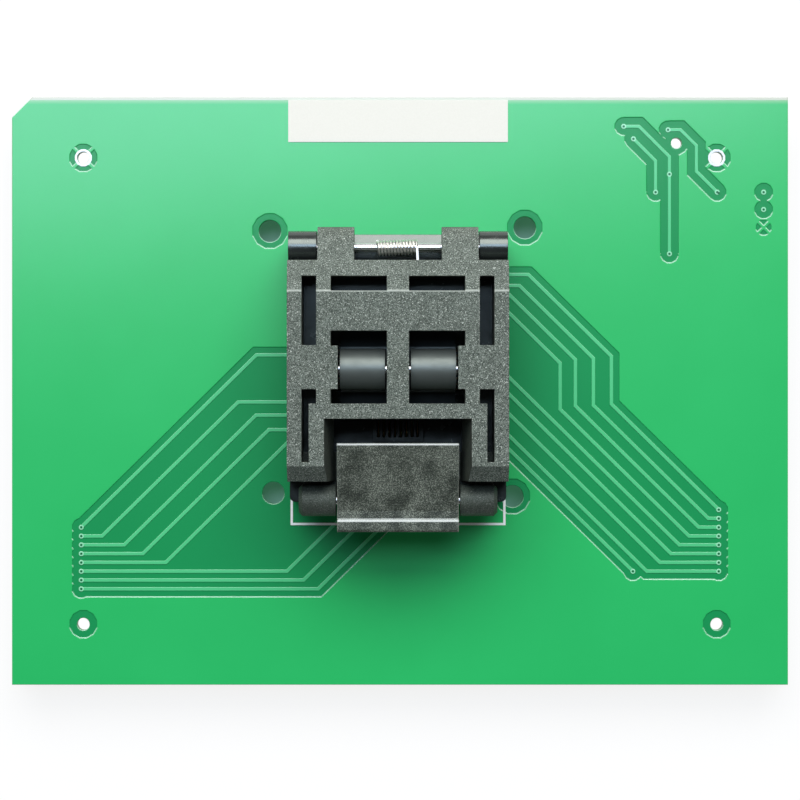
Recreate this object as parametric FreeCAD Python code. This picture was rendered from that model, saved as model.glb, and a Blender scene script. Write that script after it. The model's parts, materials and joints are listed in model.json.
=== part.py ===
import FreeCAD, Part
import math
import os

from FreeCAD import Vector

# An adapter board with a clamshell test socket on top and two board connectors underneath.
# The frame: X to the right, Y towards the socket's hinge, Z up, in millimetres.
# The origin is the middle of the board in plan, on the mating faces of the connectors.

# Connectors under the board, with two rows of ways each
CONNECTOR_PITCH = 1.27
CONNECTOR_WAYS = 50
CONNECTOR_HEIGHT = 5.7
CONNECTOR_WIDTH = 6.0
CONNECTOR_END_WALL = 1.0
CONNECTOR_CHAMFER = 0.6
SLOT_WIDTH = 2.4
SLOT_DEPTH = 4.2
LEAD_WIDTH = 0.4
LEAD_THICKNESS = 0.3
LEAD_LENGTH = 1.25

# Corner holes, which take the guide pins of the unit below, just past the connectors' ends
CORNER_SPACING_X = 91.44
GUIDE_OFFSET = 2.54
CORNER_SPACING_Y = (CONNECTOR_WAYS - 1) * CONNECTOR_PITCH + 2 * GUIDE_OFFSET
CORNER_HOLE_RADIUS = 0.9
CORNER_CLEAR_RADIUS = 2.05
RING_OUTER_RADIUS = 1.27
SPOKE_WIDTH = 0.45
SPOKE_ANGLE = 45.0

# Board, which reaches past the corner holes on all sides
BOARD_MARGIN_X = 10.28
BOARD_MARGIN_Y = 8.745
BOARD_THICKNESS = 1.6
BOARD_CHAMFER = 2.9
COPPER_THICKNESS = 0.07
HALF_SPACING_X = CORNER_SPACING_X / 2
HALF_SPACING_Y = CORNER_SPACING_Y / 2
BOARD_RIGHT = HALF_SPACING_X + BOARD_MARGIN_X
BOARD_REAR = HALF_SPACING_Y + BOARD_MARGIN_Y
BOARD_TOP = CONNECTOR_HEIGHT + BOARD_THICKNESS
CLEARED_TOP = BOARD_TOP - COPPER_THICKNESS

# Where the socket stands on the board
SOCKET_X = -0.28
SOCKET_Y = 3.0

# Four larger holes round the socket, each measured from its middle to left or right, front or rear
TOOLING_RADIUS = 1.6
TOOLING_CLEAR_RADIUS = 2.6
TOOLING_REAR_LEFT = (18.5, 20.1)
TOOLING_REAR_RIGHT = (18.3, 20.6)
TOOLING_FRONT_LEFT = (18.0, 17.7)
TOOLING_FRONT_RIGHT = (16.5, 18.2)

# One small unplated hole, measured from the board's right and rear edges
PILOT_PLACE = (16.1, 6.6)
PILOT_RADIUS = 0.8
PILOT_CLEAR_RADIUS = 1.75

# Tracks, vias and the gap left in the copper around them
TRACK_WIDTH = 0.5
TRACK_CLEARANCE = 1.15
VIA_OFFSET = 0.3
VIA_PAD_RADIUS = 0.38
VIA_CLEARANCE = 1.36
PAD_SIDES = 8
ROUND_SIDES = 12
FAN_SLOPE = 0.984
TRACK_END_X = 12.2
ZONE_END_X = 11.2
LEFT_FIRST_WAY = 9
LEFT_STUBS = (3.0, 6.2, 8.9, 12.2, 29.7, 32.1, 34.2)
LEFT_ENTRIES = (20.9, 14.1, 12.2, 10.1)
RIGHT_FIRST_WAY = 11
RIGHT_STUBS = (1.5, 2.9, 4.3, 5.7, 6.9, 8.5, 10.4)
RIGHT_RISES = (15.5, 18.1, 20.7, 22.9)
RIGHT_RISE_TOPS = (20.7, 20.4, 20.2, 19.7)
RIGHT_ENTRIES = (32.5, 30.9)
LONE_VIA_LEFT = 12.4
LONE_VIA_WAY = 4

# Three short tracks in the rear right corner, measured from the board's right and rear edges
CORNER_TRACK_CLEARANCE = 1.33
CORNER_TRACK_WIDTH = 0.45
CORNER_TRACK_A = ((23.7, 4.2), (21.5, 4.2), (17.1, 8.6), (17.1, 22.6))
CORNER_TRACK_A_VIA = (17.1, 11.1)
CORNER_TRACK_B = ((22.3, 6.0), (19.1, 9.2), (19.1, 13.7))
CORNER_TRACK_C = ((17.3, 4.7), (15.5, 4.7), (13.2, 7.0), (13.2, 10.7), (10.2, 13.7))

# Three vias near the right edge, the last one joined to the copper by a cross
EDGE_VIAS = ((3.5, 13.7), (3.5, 16.2))
EDGE_CROSS = (3.5, 18.8)
EDGE_CROSS_RADIUS = 1.15
EDGE_CROSS_SPOKE = 0.4

# Blank white label and the printed outline in front of the socket
LABEL_WIDTH = 31.7
LABEL_DEPTH = 6.05
LABEL_THICKNESS = 0.12
LABEL_REAR_GAP = 0.4
INK_THICKNESS = 0.04
INK_WIDTH = 0.34
PRINT_FRONT_GAP = 3.5

# Contact blades, eight on each side of the seat, as reach from its middle and height above the board
CONTACT_PITCH = 0.8
CONTACT_COUNT = 8
CONTACT_THICKNESS = 0.25
CONTACT_SLOT_CLEARANCE = 0.07
CONTACT_BLADE_WIDTH = 0.42
CONTACT_TIP_REACH = 4.3
CONTACT_TIP_HEIGHT = 5.2
CONTACT_DIP_HEIGHT = 3.4
CONTACT_BEND_REACH = 9.3
CONTACT_BEND_HEIGHT = 5.6
CONTACT_ROOT_HEIGHT = 1.1
TAIL_INSET = 2.3
SOLDER_TOP_RADIUS = 0.6
SOLDER_TIP_RADIUS = 0.25
SOLDER_HEIGHT = 0.9
SOLDER_SIDES = 6

# Socket base, measured up from the board's top
COMB_OUTER_WALL = 0.62
COMB_INNER_GAP = 0.23
COMB_END_WALL = 0.45
COMB_HEIGHT = 2.0
WELL_CLEARANCE = 0.4
WELL_FLOOR = 2.4
BASE_SIDE_WALL = 4.7
BASE_FRONT_WALL = 8.1
BASE_HEIGHT = 8.5
BASE_CORNER_RADIUS = 0.8
SEAT_SIZE = 6.4
SEAT_TOP = 5.0
COMB_OUTER = CONTACT_BEND_REACH + CONTACT_BLADE_WIDTH / 2 + CONTACT_SLOT_CLEARANCE + COMB_OUTER_WALL
COMB_INNER = CONTACT_TIP_REACH + CONTACT_BLADE_WIDTH + COMB_INNER_GAP
HALF_WELL = COMB_OUTER + WELL_CLEARANCE
HALF_BASE = HALF_WELL + BASE_SIDE_WALL
BASE_FRONT = -HALF_WELL - BASE_FRONT_WALL

# Hinge at the back of the socket
HINGE_BEHIND_WELL = 6.4
HINGE_Y = HALF_WELL + HINGE_BEHIND_WELL
HINGE_ABOVE_BASE = 4.7
HINGE_Z = BASE_HEIGHT + HINGE_ABOVE_BASE
SHAFT_RADIUS = 0.6
SHAFT_END_INSET = 0.3
RUNNING_CLEARANCE = 0.05
SEATED_CLEARANCE = 0.01
BARREL_RADIUS = 2.3
BARREL_WIDTH = 3.95
KNUCKLE_RADIUS = 2.87
KNUCKLE_WIDTH = 5.1
KNUCKLE_SIDE_GAP = 0.15
BARREL_RELIEF = 0.35
BARREL_INNER = HALF_BASE - BARREL_WIDTH
KNUCKLE_OUTER = BARREL_INNER - KNUCKLE_SIDE_GAP
KNUCKLE_INNER = KNUCKLE_OUTER - KNUCKLE_WIDTH
BASE_REAR = HINGE_Y + BARREL_RADIUS

# Sloping rear wall of the base and the trough in front of it, under the shaft
REAR_RECESS = 0.25
REAR_WALL_WIDTH = 1.7
REAR_WALL_STEP = 0.8
REAR_WALL_DROP = 0.6
REAR_WALL_FOOT = BASE_HEIGHT + REAR_WALL_STEP
REAR_WALL_CREST = REAR_WALL_FOOT + REAR_WALL_DROP
TROUGH_WIDTH = 3.7
TROUGH_DEPTH = 4.0
WALL_REAR = BASE_REAR - REAR_RECESS
WALL_FRONT = WALL_REAR - REAR_WALL_WIDTH

# Catch in the base's front, which the latch's hook lies under
CATCH_CLEARANCE = 0.4
CATCH_FOOT = 0.8
CATCH_BELOW_BASE_TOP = 3.0
CATCH_TOP = BASE_HEIGHT - CATCH_BELOW_BASE_TOP

# Hinge spring, wound round the shaft
SPRING_WIRE = 0.32
SPRING_MEAN_RADIUS = 0.95
SPRING_PITCH = 0.45
SPRING_TURNS = 12.25
SPRING_LEFT = 2.85
SPRING_TILT = 2.5
SPRING_STEPS = 8
SPRING_LEG = 2.6
WIRE_GAP = 0.02

# Lid
LID_OVERHANG = 0.05
LID_GAP = 0.5
LID_HEIGHT = 9.2
LID_FRONT_SETBACK = 3.08
LID_FRONT_SLOPE_RUN = 2.15
LID_FRONT_SLOPE_DROP = 2.3
LID_CREASE_TO_HINGE = 6.2
LID_REAR_TO_HINGE = 1.9
LID_REAR_WALL_TO_HINGE = 3.0
LID_PLATE = 2.3
LID_SIDE_WALL = 2.02
RIB_DEPTH = 6.6
RIB_WIDTH = 2.0
CENTRE_RIB_HALF = 1.53
SIDE_SLOT_WIDTH = 2.03
CORNER_SLOT_LEG = 1.0
HALF_LID = HALF_BASE + LID_OVERHANG
LID_BOTTOM = BASE_HEIGHT + LID_GAP
LID_TOP = LID_BOTTOM + LID_HEIGHT
RIB_FOOT = LID_TOP - RIB_DEPTH
LID_FRONT = BASE_FRONT + LID_FRONT_SETBACK
LID_CREASE = HINGE_Y - LID_CREASE_TO_HINGE
LID_REAR = HINGE_Y - LID_REAR_TO_HINGE
LID_REAR_WALL = HINGE_Y - LID_REAR_WALL_TO_HINGE
SIDE_WALL_INNER = HALF_LID - LID_SIDE_WALL
SIDE_RIB_OUTER = SIDE_WALL_INNER - SIDE_SLOT_WIDTH
SIDE_RIB_INNER = SIDE_RIB_OUTER - RIB_WIDTH

# Windows and slots in the lid, by their distance behind or in front of the pusher pin
REAR_WINDOW_LENGTH = 2.07
MIDDLE_WINDOW_BEHIND = 5.27
MIDDLE_WINDOW_AHEAD = 4.8
SIDE_SLOT_BEHIND = 3.27
CORNER_SLOT_AHEAD = 2.8
CORNER_SLOT_FRONT_WALL = 2.72
PIN_BOSS = 0.97
PIN_BOSS_BEHIND = 3.2
PIN_BOSS_AHEAD = 2.8
NOTCH_REAR_GAP = 3.4
NOTCH_SIDE_GAP = 0.25
NOTCH_LEAN = 1.45
NOTCH_FLOOR_THICKNESS = 1.4
NOTCH_FLOOR = LID_BOTTOM + NOTCH_FLOOR_THICKNESS
FLOOR_BAR_WIDTH = 4.0

# Floating pusher on its pin
PUSHER_PIN_DEPTH = 4.2
PUSHER_PIN_RADIUS = 0.75
PUSHER_SIDE_GAP = 0.25
PUSHER_BARREL_RADIUS = 2.9
PUSHER_DEPTH = 14.4
PUSHER_BODY_BELOW_PIN = 4.2
PUSHER_BODY_HEIGHT = 2.8
PUSHER_EDGE_CHAMFER = 0.8
RIM_OUTER = 4.7
RIM_WALL = 0.85
RIM_CLEARANCE = 0.4
PUSHER_Z = LID_TOP - PUSHER_PIN_DEPTH
PUSHER_BODY_TOP = PUSHER_Z - PUSHER_BODY_BELOW_PIN
PUSHER_BODY_FOOT = PUSHER_BODY_TOP - PUSHER_BODY_HEIGHT
PUSHER_OUTER = SIDE_RIB_INNER - PIN_BOSS - PUSHER_SIDE_GAP

# Latch plate, its pin and its spring
LATCH_WIDTH = 17.0
LATCH_PIN_BEHIND_FRONT = 0.35
LATCH_PIN_ABOVE_LID_FOOT = 2.2
LATCH_PIN_RADIUS = 0.6
LATCH_BOSS_RADIUS = 2.0
LATCH_LENGTH_REAR = 8.06
LATCH_REAR_RISE = 4.3
LATCH_PLATE = 1.8
LATCH_LAND_TO_PIN = 1.45
LATCH_LAND_WIDTH = 1.2
LATCH_LAND_RISE = 2.15
LATCH_RIDGE = 0.4
LATCH_LIP_WIDTH = 1.75
LATCH_LIP_DEPTH = 1.2
LATCH_EDGE_RADIUS = 0.35
LATCH_ARM_CLEARANCE = 0.5
LATCH_ARM_THICKNESS = 1.9
LATCH_ARM_BEVEL = 0.3
LATCH_HOOK_GAP = 0.3
LATCH_HOOK_FOOT = 1.6
LATCH_SPRING_TO_PIN = 4.75
LATCH_SPRING_RADIUS = 1.1
LATCH_SPRING_WIRE = 0.3
LATCH_SPRING_TURNS = 4.0
SPRING_POCKET_DEPTH = 0.5
SPRING_POCKET_CLEARANCE = 0.25
HALF_LATCH = LATCH_WIDTH / 2
LATCH_PIN_Y = BASE_FRONT + LATCH_PIN_BEHIND_FRONT
LATCH_PIN_Z = LID_BOTTOM + LATCH_PIN_ABOVE_LID_FOOT
LATCH_REAR_TOP = LATCH_PIN_Z + LATCH_REAR_RISE
LATCH_LAND_TOP = LATCH_PIN_Z + LATCH_LAND_RISE
LATCH_REAR = LATCH_PIN_Y + LATCH_LENGTH_REAR
LATCH_SPRING_Y = LATCH_PIN_Y + LATCH_SPRING_TO_PIN

# Ears of the lid that hold the latch pin
EAR_SIDE_GAP = 0.2
EAR_WIDTH = 5.2
EAR_RADIUS = 2.25
EAR_ARM_DROP = 0.9
EAR_CHAMFER = 0.5
LATCH_PIN_INSET = 0.2
EAR_INNER = HALF_LATCH + EAR_SIDE_GAP
EAR_OUTER = EAR_INNER + EAR_WIDTH
LATCH_PIN_HALF = EAR_OUTER - LATCH_PIN_INSET

OVERSHOOT = 1.0


def box(x0, x1, y0, y1, z0, z1):
    return Part.makeBox(x1 - x0, y1 - y0, z1 - z0, Vector(x0, y0, z0))


def prism_z(points, z0, z1):
    """A flat outline of (x, y) points, raised from z0 to z1."""
    corners = [Vector(x, y, z0) for x, y in points]
    face = Part.Face(Part.makePolygon(corners + corners[:1]))
    return face.extrude(Vector(0, 0, z1 - z0))


def prism_x(points, x0, x1):
    """A side profile of (y, z) points, drawn out from x0 to x1."""
    corners = [Vector(x0, y, z) for y, z in points]
    face = Part.Face(Part.makePolygon(corners + corners[:1]))
    return face.extrude(Vector(x1 - x0, 0, 0))


def prism_y(points, y0, y1):
    """A front profile of (x, z) points, drawn out from y0 to y1."""
    corners = [Vector(x, y0, z) for x, z in points]
    face = Part.Face(Part.makePolygon(corners + corners[:1]))
    return face.extrude(Vector(0, y1 - y0, 0))


def disc(x, y, radius, z0, z1):
    return Part.makeCylinder(radius, z1 - z0, Vector(x, y, z0))


def rod_x(y, z, radius, x0, x1):
    return Part.makeCylinder(radius, x1 - x0, Vector(x0, y, z), Vector(1, 0, 0))


def ring_points(x, y, radius, sides):
    """Corners of a regular outline with its flats facing the axes."""
    turn = 2 * math.pi / sides
    angles = [(i + 0.5) * turn for i in range(sides)]
    return [(x + radius * math.cos(a), y + radius * math.sin(a)) for a in angles]


def joined(shapes):
    return shapes[0].multiFuse(shapes[1:]).removeSplitter()


def both_sides(shape):
    """A shape and its mirror image across the socket's middle plane."""
    return [shape, shape.mirror(Vector(0, 0, 0), Vector(1, 0, 0))]


def seated(shape):
    """Moves a shape drawn in the socket's own frame to its place on the board."""
    return shape.translated(Vector(SOCKET_X, SOCKET_Y, BOARD_TOP))


def save(name, shapes):
    solids = [solid for shape in shapes for solid in shape.Solids]
    shape = solids[0] if len(solids) == 1 else Part.makeCompound(solids)
    shape.exportStep("parts/" + name + ".step")


def side_offset(points, distance):
    """The polyline that runs beside another at a distance, to its left when the distance is positive."""
    directions = []
    for (ax, ay), (bx, by) in zip(points, points[1:]):
        length = math.hypot(bx - ax, by - ay)
        directions.append(((bx - ax) / length, (by - ay) / length))
    before = directions[:1] + directions
    after = directions + directions[-1:]
    moved = []
    for (x, y), (ux, uy), (vx, vy) in zip(points, before, after):
        share = distance / (1 + ux * vx + uy * vy)
        moved.append((x - share * (uy + vy), y + share * (ux + vx)))
    return moved


def strip_outline(points, width):
    """The outline of a strip of even width along a polyline, with mitred corners."""
    left = side_offset(points, width / 2)
    right = side_offset(points, -width / 2)
    return left + right[::-1]


def strip(points, width, z0, z1):
    return prism_z(strip_outline(points, width), z0, z1)


def way_y(way):
    """Where one way of a connector stands, counted from the front."""
    return (way - (CONNECTOR_WAYS - 1) / 2) * CONNECTOR_PITCH


def way_positions():
    return [way_y(way) for way in range(CONNECTOR_WAYS)]


def left_routes(inner_end):
    """Centre lines of the left tracks, each from its via to a point under the socket."""
    column = HALF_SPACING_X + VIA_OFFSET
    end_x = SOCKET_X - inner_end
    routes = []
    for i, stub in enumerate((0.0,) + LEFT_STUBS):
        via_y = way_y(LEFT_FIRST_WAY - i)
        x = stub - column
        route = [(-column, via_y), (x, via_y)] if stub else [(x, via_y)]
        if i < len(LEFT_ENTRIES):
            entry = SOCKET_Y + BASE_FRONT + LEFT_ENTRIES[i]
            route.append((x + (entry - via_y) / FAN_SLOPE, entry))
            route.append((end_x, entry))
        else:
            reach = max(end_x - x, front_reach(via_y))
            route.append((x + reach, via_y + reach * FAN_SLOPE))
        routes.append(route)
    return routes


def front_reach(via_y):
    """How far a track must run sideways to pass under the front of the socket."""
    return (SOCKET_Y + BASE_FRONT + 2 * TRACK_CLEARANCE - via_y) / FAN_SLOPE


def right_routes(inner_end):
    """Centre lines of the right tracks, the first four with an upright stretch halfway."""
    column = HALF_SPACING_X + VIA_OFFSET
    end_x = SOCKET_X + inner_end
    routes = []
    for i, stub in enumerate((0.0,) + RIGHT_STUBS):
        y = way_y(RIGHT_FIRST_WAY - i)
        x = column - stub
        route = [(column, y), (x, y)] if stub else [(x, y)]
        if i < len(RIGHT_RISES):
            rise_x = column - RIGHT_RISES[i]
            route.append((rise_x, y + (x - rise_x) * FAN_SLOPE))
            x, y = rise_x, SOCKET_Y + BASE_FRONT + RIGHT_RISE_TOPS[i]
            route.append((x, y))
        if i < len(RIGHT_ENTRIES):
            entry = SOCKET_Y + BASE_FRONT + RIGHT_ENTRIES[i]
            route.append((x - (entry - y) / FAN_SLOPE, entry))
            route.append((end_x, entry))
        else:
            route.append((end_x, y + (x - end_x) * FAN_SLOPE))
        routes.append(route)
    lone_x, lone_y = column - LONE_VIA_LEFT, way_y(LONE_VIA_WAY)
    routes.append([(lone_x, lone_y), (end_x, lone_y + (lone_x - end_x) * FAN_SLOPE)])
    return routes


def from_corner(points):
    """Points given from the board's right and rear edges, as places on the board."""
    return [(BOARD_RIGHT - inward, BOARD_REAR - ahead) for inward, ahead in points]


def corner_routes():
    return [from_corner(track) for track in (CORNER_TRACK_A, CORNER_TRACK_B, CORNER_TRACK_C)]


def corner_vias():
    ends = [point for route in corner_routes() for point in (route[0], route[-1])]
    return ends + from_corner([CORNER_TRACK_A_VIA])


def edge_vias():
    return from_corner(EDGE_VIAS)


def via_pad(point):
    outline = ring_points(point[0], point[1], VIA_PAD_RADIUS, PAD_SIDES)
    return prism_z(outline, CLEARED_TOP, BOARD_TOP)


def clearing(point, radius):
    """A round gap in the copper, cut as a many-sided one."""
    outline = ring_points(point[0], point[1], radius, ROUND_SIDES)
    return prism_z(outline, CLEARED_TOP, BOARD_TOP + OVERSHOOT)


def track(route, width, vias):
    """One track with the via pads that lie on it, standing in the cleared zone."""
    line = strip(route, width, CLEARED_TOP, BOARD_TOP)
    return joined([line] + [via_pad(point) for point in vias])


def fan_zone(upper, lower, vias):
    """The cleared zone around a fan of tracks, between its outermost two and round its vias."""
    above = side_offset(upper, TRACK_CLEARANCE)
    below = side_offset(lower, -TRACK_CLEARANCE)
    zone = prism_z(above + below[::-1], CLEARED_TOP, BOARD_TOP + OVERSHOOT)
    return [zone] + [clearing(via, VIA_CLEARANCE) for via in vias]


def left_zone():
    routes = left_routes(ZONE_END_X)
    return fan_zone(routes[0], routes[-1], [route[0] for route in routes])


def right_zone():
    routes = right_routes(ZONE_END_X)
    vias = [route[0] for route in routes]
    fan = fan_zone(routes[-2], routes[0], vias)
    fan.append(strip(routes[-1], 2 * TRACK_CLEARANCE, CLEARED_TOP, BOARD_TOP + OVERSHOOT))
    return fan


def corner_zone():
    z0, z1 = CLEARED_TOP, BOARD_TOP + OVERSHOOT
    cuts = [strip(route, 2 * CORNER_TRACK_CLEARANCE, z0, z1) for route in corner_routes()]
    cuts += [clearing(via, CORNER_TRACK_CLEARANCE) for via in corner_vias()]
    return cuts + [clearing(pilot_hole(), PILOT_CLEAR_RADIUS)]


def pilot_hole():
    return from_corner([PILOT_PLACE])[0]


def edge_zone():
    cuts = [clearing(via, VIA_CLEARANCE) for via in edge_vias()]
    crossed = from_corner([EDGE_CROSS])[0]
    return cuts + [crossed_clearing(crossed, EDGE_CROSS_RADIUS, EDGE_CROSS_SPOKE)]


def crossed_clearing(point, radius, spoke):
    """A round gap in the copper, broken by a diagonal cross of it."""
    z0, z1 = CLEARED_TOP, BOARD_TOP + OVERSHOOT
    gap = clearing(point, radius)
    bar = box(-radius - spoke, radius + spoke, -spoke / 2, spoke / 2, z0, z1)
    for turn in (SPOKE_ANGLE, SPOKE_ANGLE + 90.0):
        arm = bar.copy()
        arm.rotate(Vector(0, 0, 0), Vector(0, 0, 1), turn)
        gap = gap.cut(arm.translated(Vector(point[0], point[1], 0)))
    return gap


def corner_holes():
    x, y = HALF_SPACING_X, HALF_SPACING_Y
    return [(-x, y), (x, y), (-x, -y), (x, -y)]


def tooling_hole(offset, side, end):
    """One of the larger holes. Side is -1 for left, and end is -1 for front."""
    return (SOCKET_X + side * offset[0], SOCKET_Y + end * offset[1])


def cleared_tooling_holes():
    """The larger holes that have a gap in the copper."""
    rear_left = tooling_hole(TOOLING_REAR_LEFT, -1, 1)
    rear_right = tooling_hole(TOOLING_REAR_RIGHT, 1, 1)
    return [rear_left, rear_right, tooling_hole(TOOLING_FRONT_RIGHT, 1, -1)]


def tooling_holes():
    return cleared_tooling_holes() + [tooling_hole(TOOLING_FRONT_LEFT, -1, -1)]


def ring_holes():
    """The two rear corner holes, which have bare metal rings."""
    return corner_holes()[:2]


def hole_clearings():
    cuts = [clearing(hole, CORNER_CLEAR_RADIUS) for hole in corner_holes()[2:]]
    cuts += [clearing(hole, TOOLING_CLEAR_RADIUS) for hole in cleared_tooling_holes()]
    cuts += [crossed_clearing(hole, CORNER_CLEAR_RADIUS, SPOKE_WIDTH) for hole in ring_holes()]
    return cuts + [clearing(hole, RING_OUTER_RADIUS) for hole in ring_holes()]


def board_holes():
    z0, z1 = CONNECTOR_HEIGHT - OVERSHOOT, BOARD_TOP + OVERSHOOT
    holes = [disc(x, y, CORNER_HOLE_RADIUS, z0, z1) for x, y in corner_holes()]
    holes += [disc(x, y, TOOLING_RADIUS, z0, z1) for x, y in tooling_holes()]
    pilot_x, pilot_y = pilot_hole()
    return holes + [prism_z(ring_points(pilot_x, pilot_y, PILOT_RADIUS, ROUND_SIDES), z0, z1)]


def board_outline():
    x, y = BOARD_RIGHT, BOARD_REAR
    cut = BOARD_CHAMFER
    return [(-x, -y), (x, -y), (x, y), (-x + cut, y), (-x, y - cut)]


def make_board():
    board = prism_z(board_outline(), CONNECTOR_HEIGHT, BOARD_TOP)
    zones = left_zone() + right_zone() + corner_zone() + edge_zone() + hole_clearings()
    board = board.cut(joined(zones))
    tails = [seated(hole) for hole in tail_holes()]
    return board.cut(board_holes() + tails)


def make_left_tracks():
    return [track(route, TRACK_WIDTH, route[:1]) for route in left_routes(TRACK_END_X)]


def make_right_tracks():
    return [track(route, TRACK_WIDTH, route[:1]) for route in right_routes(TRACK_END_X)]


def make_corner_tracks():
    tracks = []
    for route in corner_routes():
        vias = [via for via in corner_vias() if on_route(via, route)]
        tracks.append(track(route, CORNER_TRACK_WIDTH, vias))
    return tracks


def on_route(via, route):
    upright = via[0] == route[-1][0] and route[-1][1] <= via[1] <= route[-2][1]
    return via in route or upright


def make_edge_vias():
    return [via_pad(point) for point in edge_vias()]


def make_hole_rings():
    """Bare metal rings round the two rear corner holes."""
    inner_radius = CORNER_HOLE_RADIUS / math.cos(math.pi / ROUND_SIDES)
    rings = []
    for x, y in ring_holes():
        outer = ring_points(x, y, RING_OUTER_RADIUS, ROUND_SIDES)
        inner = ring_points(x, y, inner_radius, ROUND_SIDES)
        ring = prism_z(outer, CLEARED_TOP, BOARD_TOP)
        rings.append(ring.cut(prism_z(inner, CLEARED_TOP, BOARD_TOP)))
    return rings


def make_label():
    """The label, in line with the socket at the board's rear edge."""
    rear = BOARD_REAR - LABEL_REAR_GAP
    half = LABEL_WIDTH / 2
    left, right = SOCKET_X - half, SOCKET_X + half
    return box(left, right, rear - LABEL_DEPTH, rear, BOARD_TOP, BOARD_TOP + LABEL_THICKNESS)


def make_outline_print():
    """The printed line round the front of the socket, from one side of the base to the other."""
    half = HALF_LID
    front = BASE_FRONT - PRINT_FRONT_GAP
    route = [(-half, BASE_FRONT), (-half, front), (half, front), (half, BASE_FRONT)]
    return seated(strip(route, INK_WIDTH, 0, INK_THICKNESS))


def connector_half_length():
    return CONNECTOR_WAYS * CONNECTOR_PITCH / 2 + CONNECTOR_END_WALL


def connector_profile():
    """End view of the housing, with its lower long edges chamfered."""
    half = CONNECTOR_WIDTH / 2
    cut = CONNECTOR_CHAMFER
    top = CONNECTOR_HEIGHT
    return [(-half, cut), (-half, top), (half, top), (half, cut), (half - cut, 0), (cut - half, 0)]


def make_connector(centre_x):
    """A housing with one long slot, whose walls carry the ways."""
    half_length = connector_half_length()
    half_slot = SLOT_WIDTH / 2
    slot_end = half_length - CONNECTOR_END_WALL
    housing = prism_y(connector_profile(), -half_length, half_length)
    housing = housing.cut(box(-half_slot, half_slot, -slot_end, slot_end, 0, SLOT_DEPTH))
    return housing.translated(Vector(centre_x, 0, 0))


def make_leads(centre_x):
    """Leads that come out of the housing on both sides and taper along the board."""
    inner = CONNECTOR_WIDTH / 2
    outer = inner + LEAD_LENGTH
    top = CONNECTOR_HEIGHT
    half = LEAD_WIDTH / 2
    leads = []
    for y in way_positions():
        lead = prism_y([(inner, top - LEAD_THICKNESS), (inner, top), (outer, top)], y - half, y + half)
        leads += [side.translated(Vector(centre_x, 0, 0)) for side in both_sides(lead)]
    return leads


def contact_offsets():
    first = -(CONTACT_COUNT - 1) * CONTACT_PITCH / 2
    return [first + i * CONTACT_PITCH for i in range(CONTACT_COUNT)]


def tail_reach(index):
    """Every other tail sits nearer the middle, so that the soldered holes don't crowd."""
    return CONTACT_BEND_REACH - TAIL_INSET if index % 2 else CONTACT_BEND_REACH


def contact_route(index):
    """Side view of one blade as (reach, height), from its tail up, over the bend and down to its tip."""
    tail = tail_reach(index)
    bend = CONTACT_BEND_REACH
    crook = CONTACT_BEND_HEIGHT
    dip = CONTACT_DIP_HEIGHT
    tip = CONTACT_TIP_REACH
    width = CONTACT_BLADE_WIDTH
    route = [(tail, -BOARD_THICKNESS)]
    if tail < bend:
        route += [(tail, CONTACT_ROOT_HEIGHT), (bend, CONTACT_ROOT_HEIGHT)]
    route += [(bend, crook - width), (bend - width, crook)]
    return route + [(tip + width, dip), (tip, CONTACT_TIP_HEIGHT)]


def make_front_contacts():
    """The eight blades in front of the seat. The other three sides are this set turned."""
    blades = []
    for index, offset in enumerate(contact_offsets()):
        outline = strip_outline(contact_route(index), CONTACT_BLADE_WIDTH)
        profile = [(-reach, height) for reach, height in outline]
        half = CONTACT_THICKNESS / 2
        blades.append(prism_x(profile, offset - half, offset + half))
    return blades


def turned(shapes, quarter_turns):
    """The same shapes turned about the middle of the seat."""
    copies = []
    for shape in shapes:
        copy = shape.copy()
        copy.rotate(Vector(0, 0, 0), Vector(0, 0, 1), 90.0 * quarter_turns)
        copies.append(copy)
    return copies


def make_contacts(quarter_turns):
    return [seated(blade) for blade in turned(make_front_contacts(), quarter_turns)]


def all_sides(shapes):
    return [copy for quarter in range(4) for copy in turned(shapes, quarter)]


def tail_holes():
    """The holes through the board, each filled by its tail."""
    half_x, half_y = CONTACT_THICKNESS / 2, CONTACT_BLADE_WIDTH / 2
    foot = -BOARD_THICKNESS - OVERSHOOT
    holes = []
    for index, x in enumerate(contact_offsets()):
        y = -tail_reach(index)
        holes.append(box(x - half_x, x + half_x, y - half_y, y + half_y, foot, OVERSHOOT))
    return all_sides(holes)


def frustum(lower, upper):
    """A closed solid between two outlines of as many corners, with flat sides."""
    sides = []
    for i in range(len(lower)):
        j = (i + 1) % len(lower)
        corners = [lower[i], lower[j], upper[j], upper[i], lower[i]]
        sides.append(Part.Face(Part.makePolygon(corners)))
    ends = [Part.Face(Part.makePolygon(outline + outline[:1])) for outline in (lower, upper)]
    return Part.makeSolid(Part.makeShell(sides + ends))


def solder_outline(x, y, radius, z):
    return [Vector(px, py, z) for px, py in ring_points(x, y, radius, SOLDER_SIDES)]


def make_solder_joints():
    """A cone of solder under the board at the end of each tail."""
    z = -BOARD_THICKNESS
    joints = []
    for index, offset in enumerate(contact_offsets()):
        y = -tail_reach(index)
        tip = solder_outline(offset, y, SOLDER_TIP_RADIUS, z - SOLDER_HEIGHT)
        top = solder_outline(offset, y, SOLDER_TOP_RADIUS, z)
        joints.append(frustum(tip, top))
    return [seated(joint) for joint in all_sides(joints)]


def comb_side():
    """The block in front of the seat that guides eight blades."""
    half = CONTACT_COUNT * CONTACT_PITCH / 2 + COMB_END_WALL
    return box(-half, half, -COMB_OUTER, -COMB_INNER, WELL_FLOOR, WELL_FLOOR + COMB_HEIGHT)


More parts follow.
